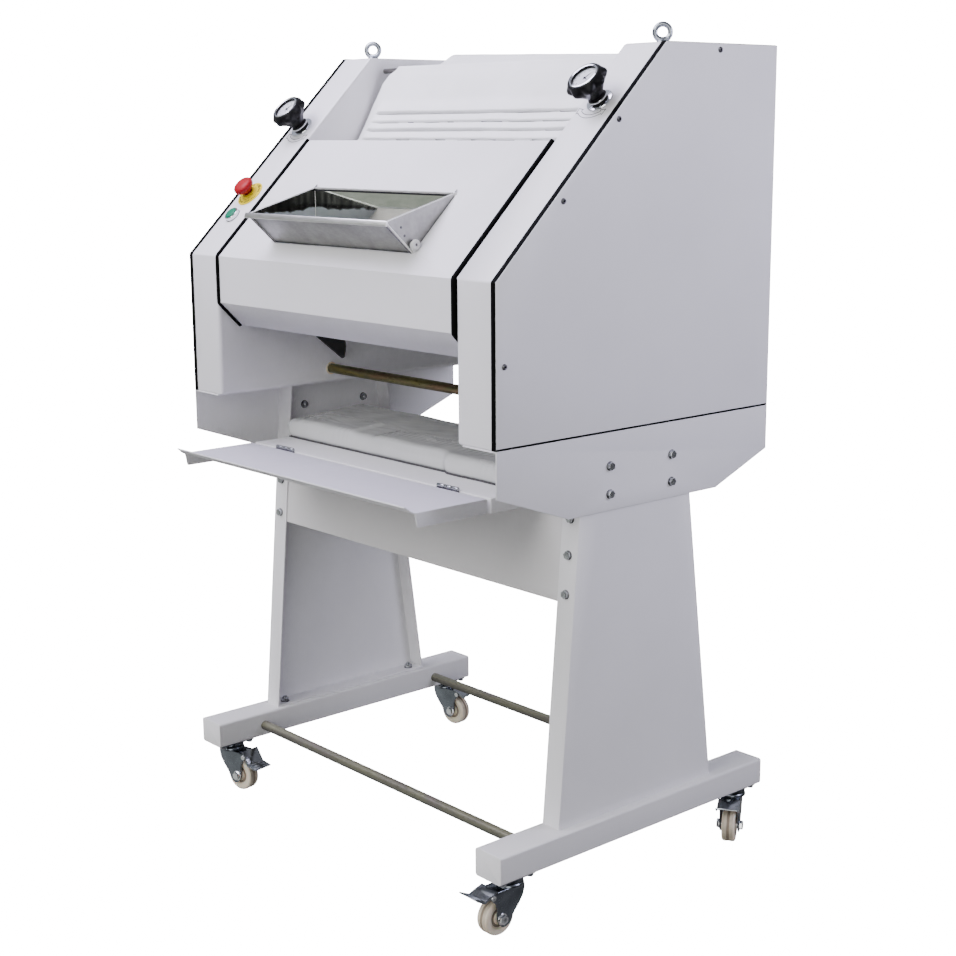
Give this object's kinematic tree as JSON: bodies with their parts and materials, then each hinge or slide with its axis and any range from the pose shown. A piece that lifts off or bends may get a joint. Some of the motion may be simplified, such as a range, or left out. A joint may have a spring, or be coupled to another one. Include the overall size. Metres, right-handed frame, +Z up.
{
  "type": "vertical dough moulder",
  "caption": "Floor-standing dough moulder: sloped side housings, hinged hood with stainless hopper, felt belt, folding outlet shelf and a castored stand.",
  "frame": {"origin": "on the floor, midway between the castor swivels, on the left-right centre plane", "axes": "+Z up, front of the machine faces -Y, +X to the right as seen from the front"},
  "size_m": [0.9476, 0.7704, 1.494],
  "materials": {
    "paint_white": "off-white powder coat, fine orange-peel texture",
    "seal_black": "black rubber strip, satin",
    "stainless": "stainless sheet, polished inside",
    "zinc_steel": "bright zinc plating, bluish",
    "yellow_zinc": "yellow chromate zinc, olive and gold tints",
    "nylon_cream": "cream nylon",
    "nylon_white": "white nylon",
    "black_plastic": "black moulded plastic",
    "red_plastic": "red moulded plastic",
    "green_plastic": "green moulded plastic",
    "yellow_plastic": "yellow moulded plastic",
    "felt_white": "white wool felt",
    "film_wrap": "felt-covered pad wrapped in clear wrinkled film",
    "roller_steel": "turned steel",
    "drum_alloy": "turned aluminium",
    "motor_grey": "grey enamel",
    "board_black": "black enamel"
  },
  "bodies": {
    "frame": {"apron_rod": "stainless", "base_plate_left": "paint_white", "base_plate_right": "paint_white", "cable_gland": "black_plastic", "castor_plates": "zinc_steel", "discharge_tray": "paint_white", "drive_chain": "roller_steel", "eyebolts": "stainless", "felt_apron": "felt_white", "felt_belt": "felt_white", "foot_tubes": "paint_white", "front_beam": "paint_white", "gearmotor": "motor_grey", "handwheel_collars": "stainless", "hinge_fixed_leaves": "zinc_steel", "hood_hinge_pins": "zinc_steel", "housing_left": "paint_white", "housing_right": "paint_white", "landing_pad": "film_wrap", "leg_left": "paint_white", "leg_right": "paint_white", "panel_screws": "zinc_steel", "rear_beam": "paint_white", "rear_cover": "paint_white", "shaft_bearings": "roller_steel", "side_panel_left": "paint_white", "side_panel_right": "paint_white", "side_seals": "seal_black", "stand_bolts": "zinc_steel", "switch_collars": "yellow_plastic", "tie_rods": "yellow_zinc"},
    "hood": {"hood": "paint_white", "hood_seals": "seal_black", "hopper_knobs": "nylon_white"},
    "hopper": {"hopper": "stainless"},
    "shelf": {"shelf": "paint_white", "hinge_shelf_leaves": "zinc_steel"},
    "estop_button": {"estop_button": "red_plastic"},
    "start_button": {"start_button": "green_plastic"},
    "handwheel_left": {"handwheel_left": "black_plastic"},
    "handwheel_right": {"handwheel_right": "black_plastic"},
    "roller_carriage": {"roller_carriage": "roller_steel"},
    "sheeting_roller_front": {"sheeting_roller_front": "roller_steel"},
    "sheeting_roller_rear": {"sheeting_roller_rear": "roller_steel"},
    "belt_drum_top": {"belt_drum_top": "drum_alloy"},
    "belt_drum_bottom": {"belt_drum_bottom": "drum_alloy"},
    "motor_shaft": {"motor_sprocket": "roller_steel"},
    "pressure_board": {"pressure_board": "board_black"},
    "castor_fork_front_right": {"castor_fork_front_right": "zinc_steel"},
    "castor_wheel_front_right": {"castor_wheel_front_right": "nylon_cream"},
    "castor_brake_front_right": {"castor_brake_front_right": "zinc_steel"},
    "castor_fork_front_left": {"castor_fork_front_left": "zinc_steel"},
    "castor_wheel_front_left": {"castor_wheel_front_left": "nylon_cream"},
    "castor_brake_front_left": {"castor_brake_front_left": "zinc_steel"},
    "castor_fork_rear_right": {"castor_fork_rear_right": "zinc_steel"},
    "castor_wheel_rear_right": {"castor_wheel_rear_right": "nylon_cream"},
    "castor_brake_rear_right": {"castor_brake_rear_right": "zinc_steel"},
    "castor_fork_rear_left": {"castor_fork_rear_left": "zinc_steel"},
    "castor_wheel_rear_left": {"castor_wheel_rear_left": "nylon_cream"},
    "castor_brake_rear_left": {"castor_brake_rear_left": "zinc_steel"}
  },
  "joints": [
    {"name": "hood_hinge", "type": "hinge", "parent": "frame", "child": "hood", "pos_m": [0, -0.11965, 1.273], "axis": [-1, 0, 0], "range_deg": [0, 75]},
    {"name": "hopper_tilt", "type": "hinge", "parent": "hood", "child": "hopper", "pos_m": [0, -0.29535, 1.1352], "axis": [1, 0, 0], "range_deg": [0, 35]},
    {"name": "shelf_fold", "type": "hinge", "parent": "frame", "child": "shelf", "pos_m": [0, -0.25815, 0.728], "axis": [-1, 0, 0], "range_deg": [0, 90]},
    {"name": "estop_push", "type": "slide", "parent": "frame", "child": "estop_button", "axis": [0, 0.6995, -0.7146], "range_m": [0, 0.005], "stiffness_N_per_m": 1500},
    {"name": "start_push", "type": "slide", "parent": "frame", "child": "start_button", "axis": [0, 0.6995, -0.7146], "range_m": [0, 0.004], "stiffness_N_per_m": 800},
    {"name": "roller_gap", "type": "slide", "parent": "frame", "child": "roller_carriage", "axis": [0, -1, 0], "range_m": [0, 0.01]},
    {"name": "handwheel_left_turn", "type": "hinge", "parent": "frame", "child": "handwheel_left", "pos_m": [-0.394, -0.08858, 1.324], "axis": [0, -0.6995, 0.7146], "range_deg": [0, 450]},
    {"name": "board_gap", "type": "slide", "parent": "frame", "child": "pressure_board", "axis": [0, -1, 0], "range_m": [-0.006, 0.008]},
    {"name": "handwheel_right_turn", "type": "hinge", "parent": "frame", "child": "handwheel_right", "pos_m": [0.386, -0.04822, 1.3635], "axis": [0, -0.6995, 0.7146], "range_deg": [-270, 360]},
    {"name": "drum_bottom_spin", "type": "hinge", "parent": "frame", "child": "belt_drum_bottom", "pos_m": [0, -0.11265, 1.012], "axis": [1, 0, 0], "continuous": true},
    {"name": "drum_top_spin", "type": "hinge", "parent": "frame", "child": "belt_drum_top", "pos_m": [0, 0.15035, 1.369], "axis": [1, 0, 0], "continuous": true},
    {"name": "roller_rear_spin", "type": "hinge", "parent": "frame", "child": "sheeting_roller_rear", "pos_m": [0, -0.19365, 1.077], "axis": [1, 0, 0], "continuous": true},
    {"name": "roller_front_spin", "type": "hinge", "parent": "roller_carriage", "child": "sheeting_roller_front", "pos_m": [0, -0.25765, 1.077], "axis": [1, 0, 0], "continuous": true},
    {"name": "motor_spin", "type": "hinge", "parent": "frame", "child": "motor_shaft", "pos_m": [0, 0.19235, 0.977], "axis": [1, 0, 0], "continuous": true},
    {"name": "swivel_front_right", "type": "hinge", "parent": "frame", "child": "castor_fork_front_right", "pos_m": [0.423, -0.28635, 0.084], "axis": [0, 0, 1], "continuous": true},
    {"name": "wheel_front_right", "type": "hinge", "parent": "castor_fork_front_right", "child": "castor_wheel_front_right", "pos_m": [0.42272, -0.31835, 0.032], "axis": [1, -0.0087, 0], "continuous": true},
    {"name": "brake_front_right", "type": "hinge", "parent": "castor_fork_front_right", "child": "castor_brake_front_right", "pos_m": [0.42256, -0.33735, 0.075], "axis": [1, -0.0087, 0], "range_deg": [0, 38]},
    {"name": "swivel_front_left", "type": "hinge", "parent": "frame", "child": "castor_fork_front_left", "pos_m": [-0.423, -0.28635, 0.084], "axis": [0, 0, 1], "continuous": true},
    {"name": "wheel_front_left", "type": "hinge", "parent": "castor_fork_front_left", "child": "castor_wheel_front_left", "pos_m": [-0.39147, -0.2809, 0.032], "axis": [-0.1702, 0.9854, 0], "continuous": true},
    {"name": "brake_front_left", "type": "hinge", "parent": "castor_fork_front_left", "child": "castor_brake_front_left", "pos_m": [-0.37274, -0.27767, 0.075], "axis": [-0.1702, 0.9854, 0], "range_deg": [-38, 0]},
    {"name": "swivel_rear_right", "type": "hinge", "parent": "frame", "child": "castor_fork_rear_right", "pos_m": [0.423, 0.28635, 0.084], "axis": [0, 0, 1], "continuous": true},
    {"name": "wheel_rear_right", "type": "hinge", "parent": "castor_fork_rear_right", "child": "castor_wheel_rear_right", "pos_m": [0.44071, 0.2597, 0.032], "axis": [0.8329, 0.5534, 0], "continuous": true},
    {"name": "brake_rear_right", "type": "hinge", "parent": "castor_fork_rear_right", "child": "castor_brake_rear_right", "pos_m": [0.45122, 0.24387, 0.075], "axis": [0.8329, 0.5534, 0], "range_deg": [0, 38]},
    {"name": "swivel_rear_left", "type": "hinge", "parent": "frame", "child": "castor_fork_rear_left", "pos_m": [-0.423, 0.28635, 0.084], "axis": [0, 0, 1], "continuous": true},
    {"name": "wheel_rear_left", "type": "hinge", "parent": "castor_fork_rear_left", "child": "castor_wheel_rear_left", "pos_m": [-0.39125, 0.2903, 0.032], "axis": [-0.1236, 0.9923, 0], "continuous": true},
    {"name": "brake_rear_left", "type": "hinge", "parent": "castor_fork_rear_left", "child": "castor_brake_rear_left", "pos_m": [-0.37239, 0.29265, 0.075], "axis": [-0.1236, 0.9923, 0], "range_deg": [0, 38]}
  ],
  "couplings": [
    {"joint": "handwheel_left_turn", "follows": "roller_gap", "rad_per_m": 785.4},
    {"joint": "handwheel_right_turn", "follows": "board_gap", "rad_per_m": 785.4},
    {"joint": "drum_top_spin", "follows": "drum_bottom_spin", "ratio": 1},
    {"joint": "roller_rear_spin", "follows": "drum_bottom_spin", "ratio": 1},
    {"joint": "roller_front_spin", "follows": "drum_bottom_spin", "ratio": -1},
    {"joint": "motor_spin", "follows": "drum_bottom_spin", "ratio": 1.502}
  ]
}
